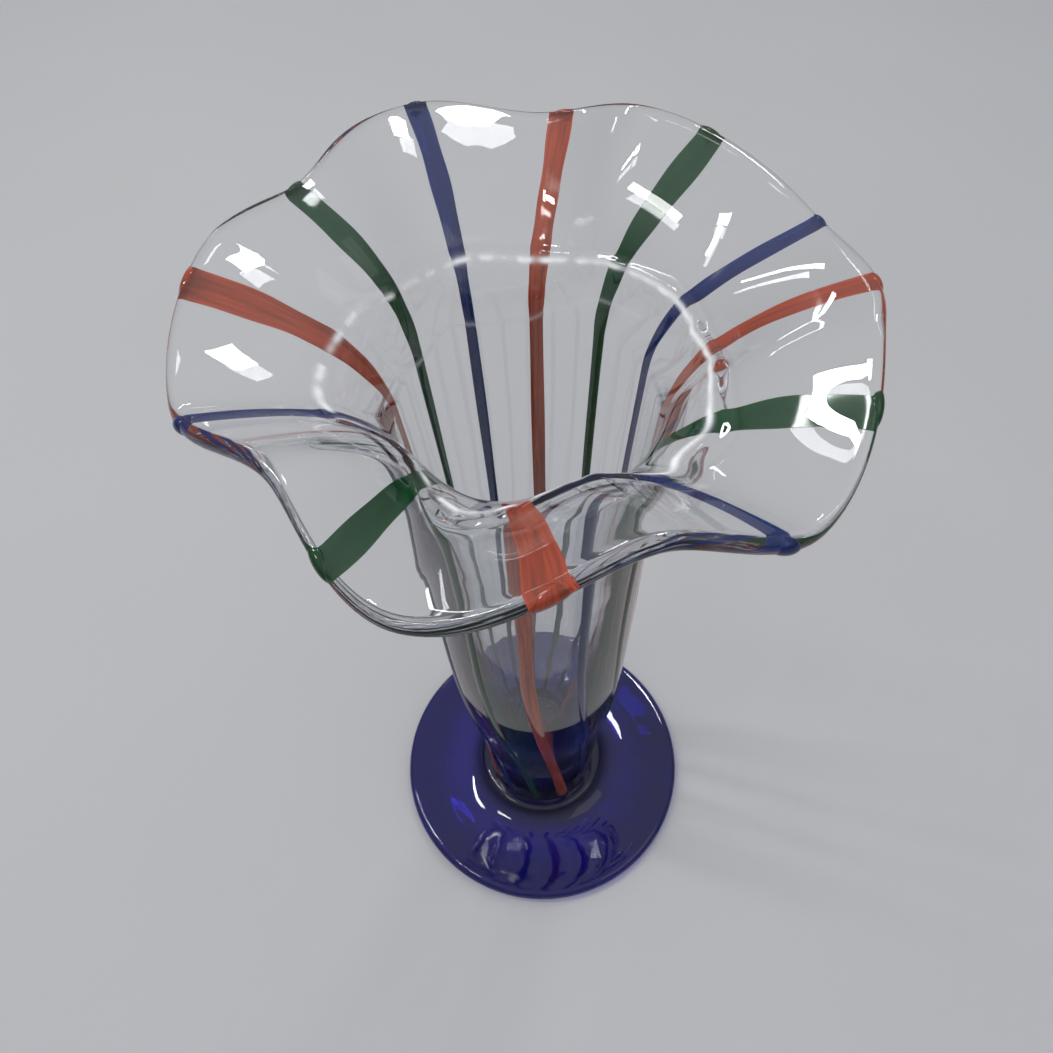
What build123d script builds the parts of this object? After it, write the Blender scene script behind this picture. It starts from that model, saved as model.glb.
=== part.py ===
from build123d import *
import os
from math import atan2, cos, pi, radians, sin

# A blown glass vase: a clear trumpet body with a six-lobed ruffled rim stands on a spun
# disc of cobalt glass. Twelve coloured canes lie along the outside of the wall and run from
# just above the foot, up the body, out along the ruffle and over the lip.
# Millimetres, +Z up. The origin is at the centre of the ring on which the foot rests, and
# azimuths are counted clockwise from +Y as seen from above.

# ---- Foot -------------------------------------------------------------------------------
foot_diameter = 96.0
foot_edge_thickness = 4.6
foot_dome_rise = 4.0          # climb of the upper face from the edge to the seat
rest_ring_width = 9.0         # flat ground ring under the edge
foot_hollow = 1.4             # depth of the hollow under the middle
pontil_diameter = 22.0        # ground mark where the working rod was broken off
pontil_depth = 0.5
seat_margin = 1.8             # flat of the seat outside the canes
rest_slope = -0.12            # at which the hollow runs down to the ground ring
edge_slope = -0.02            # at which the upper face leaves the edge, and the seat
seat_slope = -1.67

# ---- Body -------------------------------------------------------------------------------
# Outside of the wall at five heights above the seat, and at the throat where it flares.
base_radius = 17.4
heel_radius = 18.0
heel_rise = 16.0
waist_radius = 18.8
waist_rise = 31.0
calf_radius = 22.2
calf_rise = 57.0
neck_radius = 25.4
neck_rise = 130.0
throat_radius = 27.5
throat_rise = 177.0
base_wall = 8.0               # wall thickness low down, where the gather is thickest
throat_wall = 3.0             # at the throat, where the flare starts
flare_wall = 2.5              # halfway out along the flare
lip_thickness = 3.2           # fire polished bead round the rim
well_height = 15.0            # solid glass under the hollow, above the seat
well_corner = 6.0             # rounding where the well's wall meets its floor

# ---- Ruffled rim ------------------------------------------------------------------------
sheet_length = 38.5           # from the throat straight to the lip, where it isn't stretched
# Lobes and folds round the rim, as the tool left them, none quite alike:
# (azimuth, lean of the sheet above level in degrees, stretch of its length).
rim_turns = [
    (5.0, 40.0, 1.00),
    (33.0, 59.0, 1.02),
    (73.0, 52.0, 0.97),
    (107.0, 53.0, 1.10),
    (139.0, 36.5, 1.00),
    (163.0, 50.0, 0.98),
    (197.0, 37.0, 1.02),
    (224.0, 54.0, 1.00),
    (252.0, 41.0, 0.97),
    (287.0, 47.5, 1.02),
    (304.0, 60.0, 0.94),
    (340.0, 42.5, 1.10),
]
lip_lean = 0.42               # lean of the sheet's last stretch, as a share of the whole lean
throat_pull = 12.3            # how far the wall's direction carries into the flare
lip_pull = 20.2               # how far the lip's direction carries back into it

# ---- Canes ------------------------------------------------------------------------------
# Round the throat in turn: (colour, degrees adrift at the lip, width at the lip).
canes = [
    ("blue", 5.0, 4.6),
    ("red", 4.0, 5.6),
    ("green", 9.0, 5.2),
    ("blue", 10.0, 4.0),
    ("red", 2.0, 4.4),
    ("green", -5.0, 5.0),
    ("blue", -11.0, 4.0),
    ("red", -8.0, 6.0),
    ("green", -7.0, 5.0),
    ("blue", 0.0, 4.0),
    ("red", 1.0, 6.4),
    ("green", -2.0, 3.8),
]
first_cane_azimuth = -24.0
cane_widths = {"blue": 2.4, "red": 3.3, "green": 2.6}     # on the body
cane_height = 1.0             # standing proud of the wall
cane_seat = 0.12              # hairline between a cane and the wall that it lies on
cane_foot_gap = 0.4           # from the seat up to a cane's lower end
cane_twist = 30.0             # degrees that the gather turned between the throat and the foot
twist_height = 112.0          # height above the seat at which that turn has died out

ring_points = 45
ring_arcs = 3
# Levels of the skin, closer together where it turns: shares of the wall, of the flare and
# of the half turn round the lip.
wall_steps = (0, 0.017, 0.045, 0.09, 0.16, 0.25, 0.36, 0.48, 0.6, 0.72, 0.83, 0.92, 1)
flare_steps = (0.2, 0.4, 0.6, 0.77, 0.89, 0.96, 1)
lip_steps = (0.25, 0.5, 0.75)
well_steps = (0, 30, 60, 90)

seat_height = foot_edge_thickness + foot_dome_rise
throat_height = seat_height + throat_rise


def eased(u):
    """Run from 0 to 1 with no slope at either end."""
    return u * u * (3 - 2 * u)


def mixed(a, b, u):
    return a + (b - a) * u


def rim_at(azimuth):
    """Reach and rise of the lip from the throat and its lean, eased from turn to turn."""
    for i, (start, lean, stretch) in enumerate(rim_turns):
        end, next_lean, next_stretch = rim_turns[(i + 1) % len(rim_turns)]
        along = (azimuth - start) % 360 / ((end - start) % 360)
        if along < 1:
            u = eased(along)
            angle = radians(mixed(lean, next_lean, u))
            length = sheet_length * mixed(stretch, next_stretch, u)
            return length * cos(angle), length * sin(angle), angle * lip_lean


def wall_stations():
    """Mid-wall radius, height, direction and half thickness from the seat to the throat."""
    outline = Edge.make_spline(
        [
            Vector(base_radius, 0, 0),
            Vector(heel_radius, 0, heel_rise),
            Vector(waist_radius, 0, waist_rise),
            Vector(calf_radius, 0, calf_rise),
            Vector(neck_radius, 0, neck_rise),
            Vector(throat_radius, 0, throat_rise),
        ]
    )
    stations = []
    for step in wall_steps:
        point, tangent = outline.position_at(step), outline.tangent_at(step)
        direction = atan2(tangent.Z, tangent.X) if step else pi / 2
        half = mixed(base_wall, throat_wall, step) / 2
        stations.append((point.X - half, seat_height + point.Z, direction, half))
    return stations


wall = wall_stations()


def flare_station(azimuth, step):
    """The same along the flare: a cubic curve in the radial plane, throat to lip."""
    reach, rise, lip_direction = rim_at(azimuth)
    radius, height, direction, half = wall[-1]
    lip_r, lip_z = throat_radius + reach, throat_height + rise
    controls = [
        (radius, height),
        (radius + throat_pull * cos(direction), height + throat_pull * sin(direction)),
        (lip_r - lip_pull * cos(lip_direction), lip_z - lip_pull * sin(lip_direction)),
        (lip_r, lip_z),
    ]
    s = 1 - step
    weights = (s**3, 3 * s * s * step, 3 * s * step * step, step**3)
    r, z = (sum(w * c[k] for w, c in zip(weights, controls)) for k in (0, 1))
    turning = (s * s, 2 * s * step, step * step)
    dr, dz = (
        sum(w * (b[k] - a[k]) for w, a, b in zip(turning, controls, controls[1:]))
        for k in (0, 1)
    )
    if step < 0.5:
        thickness = mixed(2 * half, flare_wall, step * 2)
    else:
        thickness = mixed(flare_wall, lip_thickness, step * 2 - 1)
    return r, z, atan2(dz, dr), thickness / 2


def skin(station, turn):
    """Radius and height of the glass skin: turn 0 outside, 1 inside, and the lip between."""
    r, z, direction, half = station
    facing = direction - pi / 2 + turn * pi
    return r + half * cos(facing), z + half * sin(facing)


def outer_levels():
    """Functions of azimuth, one for each level up the outside and round the lip."""
    levels = [lambda a, s=s: skin(s, 0) for s in wall]
    levels += [lambda a, t=t: skin(flare_station(a, t), 0) for t in flare_steps]
    levels += [lambda a, t=t: skin(flare_station(a, 1), t) for t in lip_steps]
    return levels


def inner_levels():
    """The same from the lip down the inside to the edge of the well's flat floor."""
    levels = [lambda a, t=t: skin(flare_station(a, t), 1) for t in reversed(flare_steps)]
    floor = seat_height + well_height
    inner = [s for s in reversed(wall) if s[1] > floor + 1.5 * well_corner]
    levels += [lambda a, s=s: skin(s, 1) for s in inner]
    well_radius = inner[-1][0] - inner[-1][3]
    for angle in well_steps:
        r = well_radius - well_corner * (1 - cos(radians(angle)))
        z = floor + well_corner * (1 - sin(radians(angle)))
        levels.append(lambda a, r=r, z=z: (r, z))
    return levels


def placed(azimuth, level):
    r, z = level(azimuth % 360)
    return Vector(r * sin(radians(azimuth)), r * cos(radians(azimuth)), z)


levels = outer_levels() + inner_levels()
outer_count = len(wall_steps) + len(flare_steps)
cane_end = outer_count + len(lip_steps)      # the first level inside the lip
cane_spacing = 360 / len(canes)


def across_at(azimuth, i):
    """The way the skin runs round the vase at a level, per degree of azimuth."""
    return placed(azimuth + 0.5, levels[i]) - placed(azimuth - 0.5, levels[i])


def along_at(azimuth, i):
    """The way the skin runs from level to level, up the outside and down the inside."""
    if i == 0:
        return Vector(0, 0, 1)
    return placed(azimuth, levels[i + 1]) - placed(azimuth, levels[i - 1])


def skin_point(azimuth, i, lift=0.0):
    """Point of level i, lifted off the glass along its outward normal."""
    point = placed(azimuth, levels[i])
    if lift:
        point += along_at(azimuth, i).cross(across_at(azimuth, i)).normalized() * lift
    return point


def opened(i):
    """How far the flare has opened at a level: 0 up to the throat, 1 from the lip on."""
    if i < len(wall_steps):
        return 0
    return eased(flare_steps[i - len(wall_steps)]) if i < outer_count else 1


def cane_azimuth(index, i):
    """Where a cane lies at a level: turned low down, adrift at the rim."""
    colour, drift, lip_width = canes[index]
    azimuth = first_cane_azimuth + cane_spacing * index + drift * opened(i)
    height = levels[i](0)[1] - seat_height
    if height < twist_height:
        azimuth -= cane_twist * (1 - height / twist_height) ** 1.5
    return azimuth


def cane_half_angle(index, i):
    """Half of a cane's width at a level, as an azimuth."""
    colour, drift, lip_width = canes[index]
    width = mixed(cane_widths[colour], lip_width, opened(i))
    return width / 2 / across_at(cane_azimuth(index, i), i).length


def body_ring(i):
    """Smooth ring through evenly spaced points of one level, in three equal arcs."""
    azimuths = [-360 * k / ring_points for k in range(ring_points)]
    points = [placed(azimuth, levels[i]) for azimuth in azimuths]
    parameters = [k / ring_points for k in range(ring_points + 1)]
    circuit = Edge.make_spline(points, periodic=True, parameters=parameters)
    return Wire([circuit.trim(k / ring_arcs, (k + 1) / ring_arcs) for k in range(ring_arcs)])


def make_body():
    """One skin lofted up the outside, over the lip and down to the floor of the well."""
    return Solid.make_loft([body_ring(i) for i in range(len(levels))])


def cane_line(index, i):
    """Edge across a cane at level i, a hairline off the skin."""
    azimuth = cane_azimuth(index, i)
    half = cane_half_angle(index, i)
    raised = Vector(0, 0, 0 if i else cane_foot_gap)
    points = [skin_point(azimuth + share * half, i, cane_seat) + raised for share in (1, 0, -1)]
    return Wire([Edge.make_spline(points)])


def make_cane(index):
    """Ribbon that follows the skin from the seat to just inside the lip, then thickened."""
    strip = Shell.make_loft([cane_line(index, i) for i in range(cane_end + 1)])
    return Solid.thicken(strip.faces()[0], cane_height)


def seat_radius():
    return base_radius + cane_seat + cane_height + seat_margin


def make_foot():
    """Disc turned from its half section: ground ring, rounded edge, dome and seat."""
    edge_r = foot_edge_thickness / 2
    rim_r = foot_diameter / 2 - edge_r
    rest_r = rim_r - rest_ring_width
    seat_r = seat_radius()
    pontil_r = pontil_diameter / 2
    with BuildPart() as foot:
        with BuildSketch(Plane.XZ):
            with BuildLine():
                Line((0, foot_hollow + pontil_depth), (pontil_r, foot_hollow + pontil_depth))
                Line((pontil_r, foot_hollow + pontil_depth), (pontil_r, foot_hollow))
                Spline(
                    (pontil_r, foot_hollow),
                    (rest_r, 0),
                    tangents=((1, 0), (1, rest_slope)),
                )
                Line((rest_r, 0), (rim_r, 0))
                ThreePointArc((rim_r, 0), (rim_r + edge_r, edge_r), (rim_r, foot_edge_thickness))
                Spline(
                    (rim_r, foot_edge_thickness),
                    (seat_r, seat_height),
                    tangents=((-1, -edge_slope), (-1, -seat_slope)),
                )
                Line((seat_r, seat_height), (0, seat_height))
                Line((0, seat_height), (0, foot_hollow + pontil_depth))
            make_face()
        revolve(axis=Axis.Z)
    return foot.part


os.makedirs("parts", exist_ok=True)
export_step(make_foot(), "parts/foot.step")
export_step(make_body(), "parts/glass_body.step")
for index, (colour, drift, lip_width) in enumerate(canes):
    number = index // len(cane_widths) + 1
    export_step(make_cane(index), f"parts/cane_{colour}_{number}.step")
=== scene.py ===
from math import cos, pi, radians, sin

import bpy
import numpy as np
from mathutils import Matrix, Vector


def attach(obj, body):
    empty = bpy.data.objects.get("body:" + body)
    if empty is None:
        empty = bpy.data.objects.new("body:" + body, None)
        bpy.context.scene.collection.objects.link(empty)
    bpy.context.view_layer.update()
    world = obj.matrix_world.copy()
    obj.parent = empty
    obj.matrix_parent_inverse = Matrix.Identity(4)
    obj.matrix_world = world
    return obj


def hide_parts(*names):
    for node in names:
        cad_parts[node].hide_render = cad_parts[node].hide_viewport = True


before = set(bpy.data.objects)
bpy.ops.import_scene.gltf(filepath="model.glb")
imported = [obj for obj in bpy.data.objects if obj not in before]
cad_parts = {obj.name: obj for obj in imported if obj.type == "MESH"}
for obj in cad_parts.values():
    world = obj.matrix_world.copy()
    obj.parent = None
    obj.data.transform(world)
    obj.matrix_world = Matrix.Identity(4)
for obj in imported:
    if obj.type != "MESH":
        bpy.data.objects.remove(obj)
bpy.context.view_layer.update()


# ---- Foot ----------------------------------------------------------------------------------
# A gather of deep cobalt glass, spun open into a shallow domed disc on the end of the body.
# It stands on a ground ring, and the working rod's mark is ground into its hollow middle.

foot_radius = 0.048
foot_edge = 0.0046
foot_dome = 0.0040
rest_ring = 0.0090
foot_hollow = 0.0014
pontil_radius = 0.011
pontil_depth = 0.0005
pontil_edge = 0.0004
seat_radius = 0.02032
seat_height = foot_edge + foot_dome
# Radius at which the section stops short of the axis, and a fan closes its mesh.
axis_gap = 0.0005
foot_columns = 180
cobalt = (0.10, 0.045, 0.62)
cobalt_depth = 620.0


def hermite(start, end, start_slope, end_slope, count):
    """Points on a cubic between two (r, z) points that leaves and arrives along given
    directions, each as long as the chord: the four Hermite weights times ends and slopes."""
    u = np.linspace(0, 1, count)[:, None]
    start, end = np.array(start), np.array(end)
    chord = np.linalg.norm(end - start)
    slopes = [np.array(s) / np.linalg.norm(s) * chord for s in (start_slope, end_slope)]
    return ((2 * u**3 - 3 * u**2 + 1) * start + (u**3 - 2 * u**2 + u) * slopes[0]
            + (3 * u**2 - 2 * u**3) * end + (u**3 - u**2) * slopes[1])


def straight(start, end, count):
    """Evenly spaced points from one (r, z) point to another."""
    return np.linspace(start, end, count)


def bow(centre, radius, start, end, count):
    """Points on an arc about centre, from angle to angle in degrees: centre plus radius
    times (cosine, sine)."""
    angle = np.radians(np.linspace(start, end, count))
    return np.stack([centre[0] + radius * np.cos(angle), centre[1] + radius * np.sin(angle)], 1)


def foot_section():
    """Half section of the disc as (r, z), from the middle of its underside out round the
    edge and in over the dome to the middle of the seat."""
    half_edge = foot_edge / 2
    rim = foot_radius - half_edge
    rest = rim - rest_ring
    mark = foot_hollow + pontil_depth
    mark_edge = pontil_radius - 1.5 * pontil_edge
    return np.concatenate([
        straight((axis_gap, mark), (mark_edge, mark), 8),
        hermite((pontil_radius - pontil_edge, mark), (pontil_radius, foot_hollow),
                (1, 0), (1, -0.2), 5)[1:],
        hermite((pontil_radius, foot_hollow), (rest, 0), (1, 0), (1, -0.12), 20)[1:],
        straight((rest, 0), (rim, 0), 8)[1:],
        bow((rim, half_edge), half_edge, -90, 90, 21)[1:],
        hermite((rim, foot_edge), (seat_radius, seat_height), (-1, 0.02), (-0.6, 1), 36)[1:],
        straight((seat_radius, seat_height), (axis_gap, seat_height), 16)[1:],
    ])


def turned(section, columns):
    """Grid of rings: each (r, z) of the section at evenly spaced azimuths, clockwise from +Y
    seen from above, as (r sin a, r cos a, z)."""
    azimuth = np.linspace(0, 2 * pi, columns, endpoint=False)
    r, z = section[:, :1], section[:, 1:]
    return np.stack([r * np.sin(azimuth), r * np.cos(azimuth), z + 0 * azimuth], 2)


def ring_mesh(name, grid):
    """Closed smooth mesh from a grid of rings (rings, columns, xyz), each clockwise as seen
    from the side that the rings run to: quads between the rings, and a fan to the middle of
    the first ring and of the last. Its UV map runs round (u) and along in metres (v)."""
    rings, columns = grid.shape[:2]
    ends = np.stack([grid[0].mean(0), grid[-1].mean(0)])
    points = np.concatenate([grid.reshape(-1, 3), ends])
    i, j = np.mgrid[0:rings - 1, 0:columns] * np.array([columns, 1])[:, None, None]
    k = (j + 1) % columns
    quads = np.stack([i + k, i + j, i + columns + j, i + columns + k], -1).reshape(-1, 4)
    column = np.arange(columns)
    after = (column + 1) % columns
    last = (rings - 1) * columns
    start_fan = np.stack([0 * column + rings * columns, column, after], 1)
    end_fan = np.stack([0 * column + rings * columns + 1, last + after, last + column], 1)
    mesh = bpy.data.meshes.new(name)
    mesh.from_pydata(points.tolist(), [], quads.tolist() + start_fan.tolist() + end_fan.tolist())
    mesh.polygons.foreach_set("use_smooth", np.ones(len(mesh.polygons), bool))

    step = np.linalg.norm(np.diff(grid, axis=0), axis=2).mean(1)
    along = np.append(np.append(0, np.cumsum(step)).repeat(columns), [0, step.sum()])
    round_share = np.append(np.tile(column / columns, rings), [0.5, 0.5])
    corners = np.zeros(len(mesh.loops), np.int32)
    mesh.loops.foreach_get("vertex_index", corners)
    u = round_share[corners]
    around = u[:quads.size].reshape(-1, 4)
    seam = np.ptp(around, axis=1) > 0.5
    around[seam] = np.where(around[seam] < 0.5, 1, around[seam])
    u[:quads.size] = around.reshape(-1)
    layer = mesh.uv_layers.new(name="Skin")
    layer.data.foreach_set("uv", np.stack([u, along[corners]], 1).reshape(-1))
    mesh.validate()
    piece = bpy.data.objects.new(name, mesh)
    bpy.context.scene.collection.objects.link(piece)
    return piece


class Value:
    """What changes over a surface: a shader socket. Where it is a number, -, *, %, ** and abs
    add Math nodes."""

    def __init__(self, recipe, socket):
        self.recipe, self.socket = recipe, socket

    def _math(self, operation, *terms):
        return self.recipe.node("ShaderNodeMath", {"operation": operation}, *terms)

    def __sub__(self, other):
        return self._math("SUBTRACT", self, other)

    def __rsub__(self, other):
        return self._math("SUBTRACT", other, self)

    def __mul__(self, other):
        return self._math("MULTIPLY", self, other)

    def __rmul__(self, other):
        return self._math("MULTIPLY", other, self)

    def __mod__(self, other):
        return self._math("FLOORED_MODULO", self, other)

    def __rmod__(self, other):
        return self._math("FLOORED_MODULO", other, self)

    def __pow__(self, other):
        return self._math("POWER", self, other)

    def __rpow__(self, other):
        return self._math("POWER", other, self)

    def __abs__(self):
        return self._math("ABSOLUTE", self)


class Recipe:
    """The node tree of a material or of the world, put together from one method."""

    def __init__(self, owner):
        owner.use_nodes = True
        self.owner, self.tree = owner, owner.node_tree
        self.tree.nodes.clear()

    def node(self, kind, settings, *values, out=0, **named):
        """Adds a node of a type, sets its settings (a ramp's first and last stops among
        them), then its sockets in order and by name, and returns one of its outputs."""
        made = self.tree.nodes.new(kind)
        for key, setting in settings.items():
            if key == "stops":
                for element, (at, colour) in zip(made.color_ramp.elements, setting):
                    element.position = at
                    element.color = (*colour, 1)
            else:
                setattr(made, key, setting)
        sockets = list(enumerate(values)) + [(k.replace("_", " "), v) for k, v in named.items()]
        for key, value in sockets:
            if isinstance(value, Value):
                self.tree.links.new(value.socket, made.inputs[key])
            elif value is not None:
                made.inputs[key].default_value = value
        return Value(self, made.outputs[out]) if made.outputs else None

    def blend(self, share, first, second):
        """Colour from one to another by a share, held from 0 to 1."""
        ends = [c if isinstance(c, Value) else (*c, 1) for c in (first, second)]
        return self.node("ShaderNodeMix", {"data_type": "RGBA"}, share, *[None] * 5, *ends, out=2)

    def noise(self, place, **sockets):
        """Smooth random value about a half at a place."""
        return self.node("ShaderNodeTexNoise", {}, place, **sockets)

    def place(self):
        """Point of the piece in metres."""
        return self.node("ShaderNodeTexCoord", {}, out=3)

    def finish(self, kind, surface, volume=None):
        """Adds the output node and returns the material or world."""
        self.node(kind, {}, surface, volume)
        return self.owner


def lets_lamps_through(recipe, glass, tint):
    """Glass that passes light from the lamps: a Transparent shader of its tint stands in for
    it on rays from them."""
    shadow = recipe.node("ShaderNodeLightPath", {}, out=1)
    clear = recipe.node("ShaderNodeBsdfTransparent", {}, (*tint, 1))
    return recipe.node("ShaderNodeMixShader", {}, shadow, glass, clear)


def cobalt_glass():
    """Deep cobalt: clear glass that takes up red and green over a few millimetres, with
    faint cords left by the spinning."""
    recipe = Recipe(bpy.data.materials.new("cobalt_glass"))
    place = recipe.place()
    cords = recipe.noise(place, Scale=55.0, Detail=3.0, Roughness=0.45)
    ripple = recipe.node("ShaderNodeBump", {}, Strength=0.16, Distance=0.0012, Height=cords)
    streak = recipe.noise(place, Scale=38.0, Detail=4.0, Distortion=1.5)
    colour = recipe.blend(streak, (0.52, 0.46, 0.98), (0.78, 0.70, 1.0))
    glass = recipe.node("ShaderNodeBsdfPrincipled", {}, Base_Color=colour, Roughness=0.02,
                        IOR=1.5, Transmission_Weight=1.0, Normal=ripple)
    inside = recipe.node("ShaderNodeVolumeAbsorption", {}, (*cobalt, 1), Density=cobalt_depth)
    surface = lets_lamps_through(recipe, glass, (0.75, 0.72, 0.98))
    return recipe.finish("ShaderNodeOutputMaterial", surface, inside)


foot = ring_mesh("cobalt_foot", turned(foot_section(), foot_columns))
foot.data.materials.append(cobalt_glass())
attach(foot, "root")
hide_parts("foot")


# ---- Body ----------------------------------------------------------------------------------
# Clear glass blown into a slim trumpet with a solid foot end, its mouth spun out and pulled
# into six lobes and six folds while it was soft, and the lip fire polished to a round bead.

outline_heights = np.array([0.0, 0.016, 0.031, 0.057, 0.130, 0.177])
outline_radii = np.array([0.0174, 0.0180, 0.0188, 0.0222, 0.0254, 0.0275])
base_wall = 0.0080
throat_wall = 0.0030
flare_wall = 0.0025
lip_thickness = 0.0032
well_height = 0.015
well_corner = 0.006
throat_pull = 0.0123
lip_pull = 0.0202
sheet_length = 0.0385
lip_lean = 0.42
body_columns = 300
well_gap = 0.0006
crystal = (0.80, 0.82, 0.86)
crystal_depth = 55.0
# Azimuth in degrees, lean of the sheet above level in degrees and stretch of its length, of
# each lobe and fold in turn.
rim_turns = np.array([
    (5, 40, 1.00), (33, 59, 1.02), (73, 52, 0.97), (107, 53, 1.10), (139, 36.5, 1.00),
    (163, 50, 0.98), (197, 37, 1.02), (224, 54, 1.00), (252, 41, 0.97), (287, 47.5, 1.02),
    (304, 60, 0.94), (340, 42.5, 1.10)])
# Azimuth in degrees and height of the jacks' mark, and the section of its ledge. A fainter
# mark under it, with its strength, runs round the back only.
ridge_levels = np.array([
    (5, 0.1976), (40, 0.2016), (85, 0.2022), (112, 0.2056), (124, 0.2042), (136, 0.2008),
    (150, 0.2036), (200, 0.2020), (255, 0.2030), (300, 0.2023), (335, 0.1992)])
faint_levels = np.array([
    (3, 0.1870, 0.8), (16, 0.1900, 0.8), (38, 0.1945, 0.7), (75, 0.1960, 0), (250, 0.1930, 0),
    (285, 0.1895, 0.7), (304, 0.1870, 1), (323, 0.1896, 1), (345, 0.1870, 0.8)])
ridge_width = 0.0009
ridge_lift = 0.0009
ridge_crest = 0.0005
# Lift of the fainter mark, and strength of its whitish satin line, partly chill and partly painted
# highlight; then the share of the satin in the main line.
faint_lift = 0.1
faint_chill_highlight = 0.35
satin_highlight_share = 0.9


def natural_spline(knots, values):
    """The smooth cubic through (knot, value) points with no bend at its ends, as a function
    that gives value and slope: second derivatives solve the usual three-term equations."""
    gap = np.diff(knots)
    rate = np.diff(values) / gap
    size = len(knots)
    system, right = np.eye(size), np.zeros(size)
    for i in range(1, size - 1):
        system[i, i - 1:i + 2] = gap[i - 1], 2 * (gap[i - 1] + gap[i]), gap[i]
        right[i] = 6 * (rate[i] - rate[i - 1])
    bend = np.linalg.solve(system, right)

    def at(x):
        i = np.clip(np.searchsorted(knots, x) - 1, 0, size - 2)
        to_go, gone = knots[i + 1] - x, x - knots[i]
        value = ((bend[i] * to_go**3 + bend[i + 1] * gone**3) / (6 * gap[i])
                 + (values[i] / gap[i] - bend[i] * gap[i] / 6) * to_go
                 + (values[i + 1] / gap[i] - bend[i + 1] * gap[i] / 6) * gone)
        slope = ((bend[i + 1] * gone**2 - bend[i] * to_go**2) / (2 * gap[i])
                 + rate[i] - (bend[i + 1] - bend[i]) * gap[i] / 6)
        return value, slope
    return at


outline = natural_spline(outline_heights, outline_radii)


def eased(u):
    """0 to 1 with no slope at either end: u squared times (3 - 2u)."""
    return u * u * (3 - 2 * u)


def round_the_mouth(table, azimuth):
    """Values at azimuths in degrees from a table of rows that start with an azimuth: each
    column after it, eased from row to row and from the last row to the first."""
    starts = table[:, 0]
    azimuth = np.mod(azimuth - starts[0], 360)
    edges = np.append(starts - starts[0], 360)
    i = np.clip(np.searchsorted(edges, azimuth, side="right") - 1, 0, len(starts) - 1)
    share = eased((azimuth - edges[i]) / (edges[i + 1] - edges[i]))
    after = (i + 1) % len(starts)
    return [column[i] + (column[after] - column[i]) * share for column in table.T[1:]]


def rim_at(azimuth):
    """Reach and rise of the lip from the throat and its lean, at azimuths in degrees: sheet
    length times stretch, along the lean."""
    lean, stretch = round_the_mouth(rim_turns, azimuth)
    lean, length = np.radians(lean), sheet_length * stretch
    return length * np.cos(lean), length * np.sin(lean), lean * lip_lean


def sheet(azimuth, way):
    """Mid-sheet radius, height, direction and half thickness. way runs 0 to 1 up the wall
    and 1 to 2 out along the flare, which is a cubic Bezier in the radial plane from the
    throat's direction to the lip's."""
    azimuth, way = np.broadcast_arrays(azimuth, way)
    climb = np.clip(way, 0, 1)
    radius, slope = outline(climb * outline_heights[-1])
    half = (base_wall + (throat_wall - base_wall) * climb) / 2
    wall_direction = np.where(climb > 0, np.arctan2(1, slope), pi / 2)
    wall_r, wall_z = radius - half, seat_height + climb * outline_heights[-1]

    t = np.clip(way - 1, 0, 1)
    s = 1 - t
    reach, rise, lip_direction = rim_at(azimuth)
    throat_z = seat_height + outline_heights[-1]
    throat_direction = np.arctan2(1, outline(outline_heights[-1])[1])
    throat_r = outline_radii[-1] - throat_wall / 2
    lip_r, lip_z = outline_radii[-1] + reach, throat_z + rise
    r = [throat_r + 0 * t, throat_r + throat_pull * np.cos(throat_direction),
         lip_r - lip_pull * np.cos(lip_direction), lip_r]
    z = [throat_z + 0 * t, throat_z + throat_pull * np.sin(throat_direction),
         lip_z - lip_pull * np.sin(lip_direction), lip_z]
    weights = s**3, 3 * s * s * t, 3 * s * t * t, t**3
    turning = s * s, 2 * s * t, t * t
    flare_r = sum(w * c for w, c in zip(weights, r))
    flare_z = sum(w * c for w, c in zip(weights, z))
    dr = sum(w * (b - a) for w, a, b in zip(turning, r, r[1:]))
    dz = sum(w * (b - a) for w, a, b in zip(turning, z, z[1:]))
    thick = np.where(t < 0.5, throat_wall + (flare_wall - throat_wall) * 2 * t,
                     flare_wall + (lip_thickness - flare_wall) * (2 * t - 1))
    out = way > 1
    return (np.where(out, flare_r, wall_r), np.where(out, flare_z, wall_z),
            np.where(out, np.arctan2(dz, dr), wall_direction), np.where(out, thick / 2, half))


def jack_marks_and_highlight(azimuth, z):
    """Height of the marks that the jacks left where they turned the sheet over, as a share
    of the full lift, and the strength there of a whitish satin line along them, which is
    partly the jacks' chill and partly a painted highlight of the bright ring at the throat.
    The main one is a ledge, steep above and gentle below, each side a bell of the distance
    from its level, and quick sines bead it, most of all on the left. The fainter one is a
    plain bell."""
    angle = np.radians(azimuth)
    beads = np.sin(29 * angle + 1) + 0.8 * np.sin(47 * angle) + 0.6 * np.sin(13 * angle)
    left = 0.5 - 0.5 * np.sin(angle)
    level, = round_the_mouth(ridge_levels, azimuth)
    away = z - level
    ledge = np.exp(-(away / np.where(away > 0, ridge_width, 4 * ridge_width)) ** 2)
    crest = np.exp(-((away - 0.5 * ridge_width) / ridge_crest) ** 2)
    ledge = ledge * (1 - 0.5 * left) * (1 + 0.1 * beads)
    # Painted highlight: the satin line is strongest on the right, where the throat's ring shines
    # brightest, and breaks into beads on the left.
    crest = crest * (1 - 0.3 * left) * np.clip(1 + (0.1 + 0.9 * left) * beads, 0, 1.5)
    faint_level, strength = round_the_mouth(faint_levels, azimuth)
    faint = strength * np.exp(-((z - faint_level) / ridge_crest) ** 2)
    return ledge + faint_lift * faint, crest + faint_chill_highlight * faint


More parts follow.
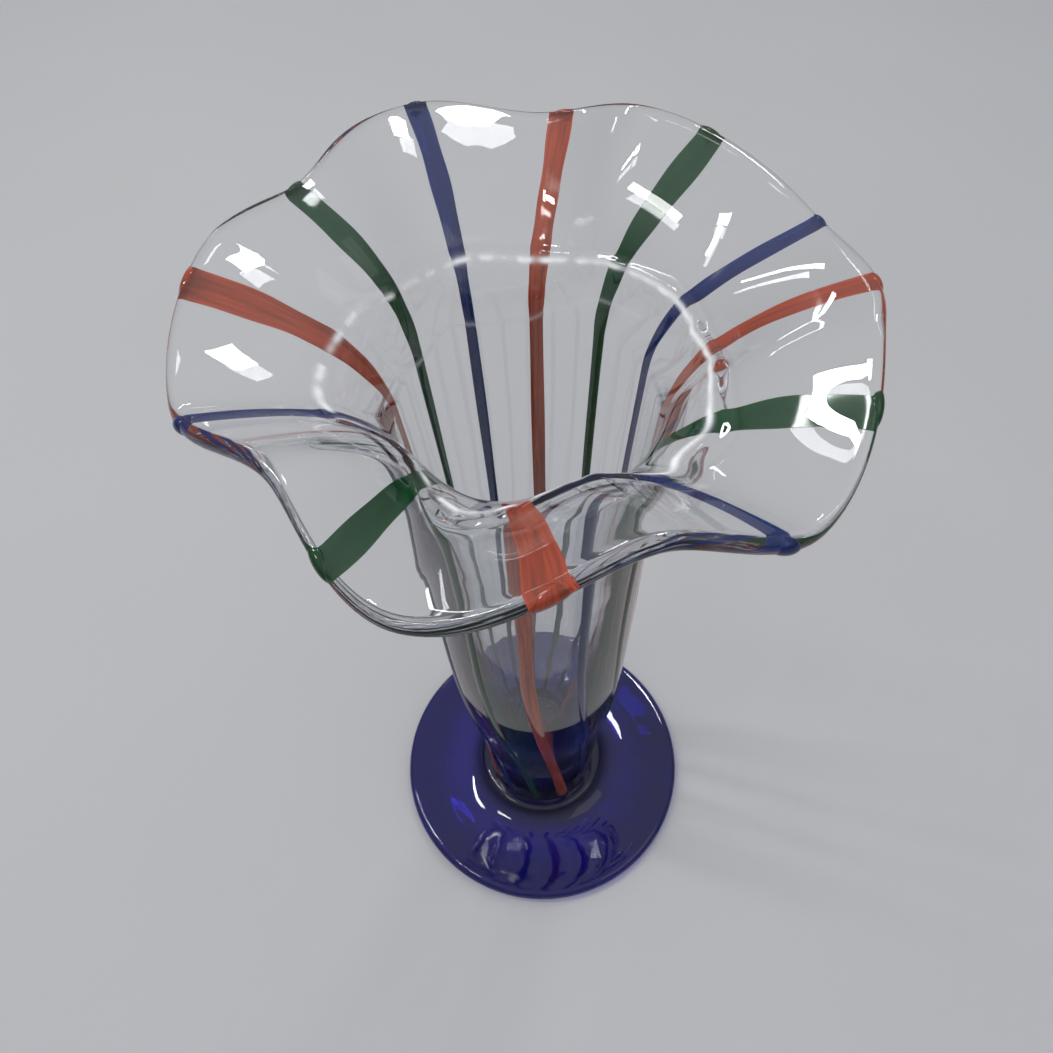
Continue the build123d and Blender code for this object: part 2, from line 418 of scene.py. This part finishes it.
def skin(azimuth, way, turn, lift=0.0):
    """Point of the glass skin, lifted off it: the mid-sheet point plus half the thickness
    along the direction that faces out at turn 0, ahead at 0.5 on the lip and in at 1."""
    r, z, direction, half = sheet(azimuth, way)
    facing = direction - pi / 2 + turn * pi
    marked = np.where(np.equal(turn, 1.0), ridge_lift * jack_marks_and_highlight(azimuth, z)[0], 0.0)
    off = half + lift + marked
    r, z = r + off * np.cos(facing), z + off * np.sin(facing)
    angle = np.radians(azimuth)
    return np.stack([r * np.sin(angle), r * np.cos(angle), z], -1)


def body_grid(columns):
    """Rings from the middle of the base up the outside, over the lip and down the inside to
    the middle of the well's floor, closest together where the jacks' marks lie."""
    azimuth = np.linspace(0, 360, columns, endpoint=False)[None]
    floor = seat_height + well_height
    well_top = (well_height + 1.5 * well_corner) / outline_heights[-1]
    outside = np.append(np.linspace(0, 1, 56), 1 + np.linspace(0, 1, 48)[1:])[:, None]
    lip = np.linspace(0, 1, 17)[1:-1, None]
    inside = np.concatenate([
        np.linspace(2, 1.66, 17)[:-1], np.linspace(1.66, 1.02, 112),
        np.linspace(1, well_top, 36)])[:, None]
    base = skin(azimuth, np.zeros((1, 1)), 0.0)
    shrink = np.linspace(0.05, 1, 8)[:-1, None, None]
    under = base * np.where([True, True, False], shrink, 1.0)
    low = skin(azimuth, inside[-1:], 1.0)[0]
    well_radius = np.linalg.norm(low[:, :2], axis=1).mean() - well_corner
    corner = bow((well_radius, floor + well_corner), well_corner, 0, -90, 14)
    bottom = straight((well_radius, floor), (well_gap, floor), 8)[1:]
    return np.concatenate([
        under, skin(azimuth, outside, 0.0), skin(azimuth, 2.0 + 0 * lip, lip),
        skin(azimuth, inside, 1.0), turned(np.concatenate([corner, bottom]), columns)])


def chill_and_highlight(grid):
    """Strength of the whitish satin line at each point of the body's skin, partly the jacks'
    chill and partly a painted highlight: the jacks' marks on the rings that follow the
    highest one, down the inside, and nothing elsewhere."""
    x, y, z = np.moveaxis(grid, 2, 0)
    inside = np.arange(len(grid)) > z.mean(1).argmax()
    return np.where(inside[:, None], jack_marks_and_highlight(np.degrees(np.arctan2(x, y)), z)[1], 0.0)


def clear_glass():
    """Clear crystal with a trace of grey violet, a fine cord and, along the jacks' marks, a
    whitish satin line of fine wrinkles, partly their chill and partly a painted highlight of
    the bright ring at the throat."""
    recipe = Recipe(bpy.data.materials.new("clear_glass"))
    place = recipe.place()
    cords = recipe.noise(place, Scale=42.0, Detail=2.0, Roughness=0.4)
    ripple = recipe.node("ShaderNodeBump", {}, Strength=0.10, Distance=0.001, Height=cords)
    streak = recipe.noise(place, Scale=26.0, Detail=3.0, Distortion=1.0)
    colour = recipe.blend(streak, (0.955, 0.965, 0.975), (0.985, 0.985, 0.99))
    glass = recipe.node("ShaderNodeBsdfPrincipled", {}, Base_Color=colour, Roughness=0.0,
                        IOR=1.5, Transmission_Weight=1.0, Normal=ripple)
    # Painted highlight: a near-white satin, mixed in along the jacks' marks, stands in for the
    # bright ring that the throat's bend reflects as well as for their chill.
    satin_highlight = recipe.node("ShaderNodeBsdfPrincipled", {}, (0.92, 0.93, 0.95, 1), Roughness=0.3,
                        Normal=ripple)
    chill_highlight_share = recipe.node("ShaderNodeAttribute", {"attribute_name": "chill_and_highlight"}, out=2)
    marked = recipe.node("ShaderNodeMixShader", {}, chill_highlight_share * satin_highlight_share, glass, satin_highlight)
    inside = recipe.node("ShaderNodeVolumeAbsorption", {}, (*crystal, 1), Density=crystal_depth)
    surface = lets_lamps_through(recipe, marked, (0.93, 0.93, 0.94))
    return recipe.finish("ShaderNodeOutputMaterial", surface, inside)


body_rings = body_grid(body_columns)
body = ring_mesh("clear_body", body_rings)
# Each point carries the satin line's strength, partly chill and partly painted highlight.
chill_highlight_points = body.data.attributes.new("chill_and_highlight", "FLOAT", "POINT")
chill_highlight_points.data.foreach_set("value", np.append(chill_and_highlight(body_rings), [0, 0]))
body.data.materials.append(clear_glass())
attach(body, "root")
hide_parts("glass_body")


# ---- Canes ---------------------------------------------------------------------------------
# Twelve rods of blue, red and green glass, laid on the gather and rolled in, then blown and
# pulled with it: they lean low down, run straight up the wall and spread as the mouth opens.

# Round the throat in turn: colour, degrees adrift at the lip, width at the lip.
canes = [
    ("blue", 5, 0.0046), ("red", 4, 0.0056), ("green", 9, 0.0052), ("blue", 10, 0.0040),
    ("red", 2, 0.0044), ("green", -5, 0.0050), ("blue", -11, 0.0040), ("red", -8, 0.0060),
    ("green", -7, 0.0050), ("blue", 0, 0.0040), ("red", 1, 0.0064), ("green", -2, 0.0038)]
first_cane = -24.0
cane_spacing = 360 / len(canes)
cane_widths = {"blue": 0.0024, "red": 0.0033, "green": 0.0026}
cane_height = 0.0005
cane_sunk = 0.00006
cane_taper = 0.0024
cane_reach = 0.92             # of the half turn round the lip
cane_twist = 30.0
twist_height = 0.112
# Metres along a cane at which its colour starts to pale, and how fast it does. Noise at
# which a dark streak starts, and how fast it deepens. How pale the thin edges are.
pale_start = 0.16
pale_rate = 11.0
streak_start = 0.40
streak_rate = 4
edge_share = 0.45
cane_colours = {"blue": ((0.008, 0.022, 0.13), (0.006, 0.024, 0.19)),
                "red": ((0.46, 0.085, 0.030), (0.54, 0.070, 0.028)),
                "green": ((0.004, 0.062, 0.018), (0.002, 0.080, 0.016))}


def cane_path(index, way):
    """Azimuth in degrees of a cane's middle: evenly spaced at the throat, turned back low
    down by a share of the twist to the power of one and a half, adrift as the flare opens."""
    height = way * outline_heights[-1]
    turned_back = cane_twist * np.clip(1 - height / twist_height, 0, 1)**1.5
    opened = eased(np.clip(way - 1, 0, 1))
    return first_cane + cane_spacing * index + canes[index][1] * opened - turned_back


def cane_grid(index):
    """Rings round a ribbon with a domed top that follows the skin from above the seat over
    the lip: each ring goes out over the top and back along the glass. Its ends taper as the
    root of their distance, and slow sines make its width uneven."""
    climb = np.append(np.linspace(0.003, 1, 110), 1 + np.linspace(0, 1, 60)[1:])
    over = np.linspace(0, cane_reach, 12)[1:]
    way, turn = np.append(climb, 2.0 + 0 * over), np.append(0 * climb, over)
    centre = cane_path(index, way)
    step = np.linalg.norm(np.diff(skin(centre, way, turn), axis=0), axis=1)
    length = np.append(0, np.cumsum(step))
    ends = np.minimum(length, length[-1] - length)
    taper = np.sqrt(np.clip(ends / cane_taper, 0.004, 1))
    colour, _, lip_width = canes[index]
    opened = eased(np.clip(way - 1, 0, 1))
    uneven = 1 + 0.07 * np.sin(9 * way + 2.1 * index) + 0.04 * np.sin(23 * way + index)
    width = (cane_widths[colour] + (lip_width - cane_widths[colour]) * opened) * taper * uneven
    per_degree = np.linalg.norm(
        skin(centre + 0.5, way, turn) - skin(centre - 0.5, way, turn), axis=1)
    share = -np.cos(np.linspace(0, pi, 15))
    back = share[-2:0:-1]
    top = np.clip(1 - share**2, 0, 1) ** 0.8 * cane_height
    azimuth = centre[:, None] + np.append(share, back) * (width / 2 / per_degree)[:, None]
    lift = np.append(top, 0 * back) * taper[:, None] - cane_sunk
    return skin(azimuth, way[:, None], turn[:, None], lift)


def cane_glass(name, body_colour, lip_colour):
    """Dense coloured glass, streaked along the rod's length where it was pulled, paler where
    it spreads at the lip and along its thin edges. u crosses the top in its first half and
    the back in its second, so 4u folded by 2, less 1, runs from -1 to 1 across each."""
    recipe = Recipe(bpy.data.materials.new(f"{name}_glass"))
    skin_map = recipe.node("ShaderNodeTexCoord", {}, out=2)
    around = recipe.node("ShaderNodeSeparateXYZ", {}, skin_map)
    along = recipe.node("ShaderNodeSeparateXYZ", {}, skin_map, out=1)
    stretch = recipe.node("ShaderNodeMapping", {}, skin_map, Scale=(14.0, 40.0, 1.0))
    streak = recipe.noise(stretch, Scale=1.0, Detail=4.0, Distortion=0.6)
    edge = abs(around * 4 % 2 - 1)
    colour = recipe.blend((along - pale_start) * pale_rate, body_colour, lip_colour)
    dark_colour = [0.50 * c for c in body_colour]
    pale_colour = [1.3 * c + 0.05 for c in lip_colour]
    streaked = recipe.blend((streak - streak_start) * streak_rate, colour, dark_colour)
    edged = recipe.blend(edge ** 6 * edge_share, streaked, pale_colour)
    glass = recipe.node("ShaderNodeBsdfPrincipled", {}, Base_Color=edged, Roughness=0.05,
                        IOR=1.5, Transmission_Weight=0.35)
    return recipe.finish("ShaderNodeOutputMaterial", glass)


cane_finishes = {name: cane_glass(name, *colours) for name, colours in cane_colours.items()}
for index, (colour, _, _) in enumerate(canes):
    number = index // len(cane_colours) + 1
    node = f"cane_{colour}_{number}"
    cane = ring_mesh(f"{colour}_cane_{number}", cane_grid(index))
    cane.data.materials.append(cane_finishes[colour])
    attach(cane, "root")
    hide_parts(node)


# ---- Floor, light and camera ---------------------------------------------------------------
# A plain floor in a grey room that darkens towards the horizon, so that the edges of clear
# glass show. Small lamps stand where a maker's window, tubes and spots would, and a wide one
# fills in. The camera stands in front of the vase and above it, looking down into the mouth.

floor_half = 3.0
floor_height = -2e-4

corners = [(-floor_half, -floor_half), (floor_half, -floor_half),
           (floor_half, floor_half), (-floor_half, floor_half)]
floor_mesh = bpy.data.meshes.new("floor")
floor_mesh.from_pydata([(*corner, floor_height) for corner in corners], [], [(0, 1, 2, 3)])
floor = bpy.data.objects.new("floor", floor_mesh)
bpy.context.scene.collection.objects.link(floor)


def floor_paint():
    """Matt grey with a faint, slow change of shade."""
    recipe = Recipe(bpy.data.materials.new("floor_paint"))
    grain = recipe.noise(recipe.place(), Scale=6.0, Detail=2.0)
    colour = recipe.blend(grain, (0.43, 0.43, 0.44), (0.46, 0.46, 0.47))
    paint = recipe.node("ShaderNodeBsdfPrincipled", {}, Base_Color=colour, Roughness=0.8)
    return recipe.finish("ShaderNodeOutputMaterial", paint)


floor.data.materials.append(floor_paint())


def lamp(name, place, target, size, power):
    """A soft lamp, so wide and so high, at a place and turned towards a target."""
    light = bpy.data.lights.new(name, "AREA")
    light.shape = "RECTANGLE"
    light.size, light.size_y = size
    light.energy = power
    made = bpy.data.objects.new(name, light)
    made.location = place
    made.rotation_euler = (Vector(target) - Vector(place)).to_track_quat("-Z", "Y").to_euler()
    bpy.context.scene.collection.objects.link(made)


lamp("window_lamp", (-0.62, 0.17, 1.03), (0, 0, 0.12), (0.055, 0.30), 2.4)
lamp("back_lamp", (0.27, 0.56, 1.04), (0, 0, 0.15), (0.12, 0.18), 1.6)
lamp("low_strip", (-0.45, 1.13, 0.75), (0, 0, 0.15), (0.6, 0.025), 0.9)
lamp("side_lamp", (-0.43, 0.12, 1.11), (0, 0, 0.02), (0.10, 0.10), 0.9)
lamp("left_lamp", (-0.55, -0.36, 1.15), (0, 0, 0.2), (0.22, 0.11), 1.4)
lamp("fill_lamp", (0.8, -0.5, 1.0), (0, 0, 0.1), (0.7, 0.7), 0.8)


def grey_room():
    """Even light that brightens from the horizon up."""
    recipe = Recipe(bpy.data.worlds.new("room"))
    height = recipe.node("ShaderNodeSeparateXYZ", {}, recipe.node("ShaderNodeTexCoord", {}), out=2)
    shade = recipe.node("ShaderNodeValToRGB", {"stops": [
        (0.02, (0.16, 0.165, 0.17)), (0.75, (0.72, 0.73, 0.75))]}, height)
    glow = recipe.node("ShaderNodeBackground", {}, shade)
    return recipe.finish("ShaderNodeOutputWorld", glow)


bpy.context.scene.world = grey_room()

camera_place = (0, -0.1090, 0.3038)
camera_lens = 29.06
pan, pitch, roll = radians(-0.62), radians(54.86), radians(-3.0)
camera_data = bpy.data.cameras.new("camera")
camera_data.sensor_width = 36.0
camera_data.lens = camera_lens
camera = bpy.data.objects.new("camera", camera_data)
ahead = np.array([sin(pan) * cos(pitch), cos(pan) * cos(pitch), -sin(pitch)])
level_right = np.array([cos(pan), -sin(pan), 0])
level_up = np.cross(level_right, ahead)
right = cos(roll) * level_right + sin(roll) * level_up
up = -sin(roll) * level_right + cos(roll) * level_up
facing = Matrix([[right[i], up[i], -ahead[i]] for i in range(3)])
camera.matrix_world = Matrix.Translation(camera_place) @ facing.to_4x4()
bpy.context.scene.collection.objects.link(camera)
bpy.context.scene.camera = camera
bpy.context.scene.view_settings.view_transform = "Standard"
# Light crosses many skins of glass in the ruffle, so it may turn more often than usual.
bounces = bpy.context.scene.cycles
bounces.max_bounces = 32
bounces.glossy_bounces = 24
bounces.transmission_bounces = 32
bounces.transparent_max_bounces = 32
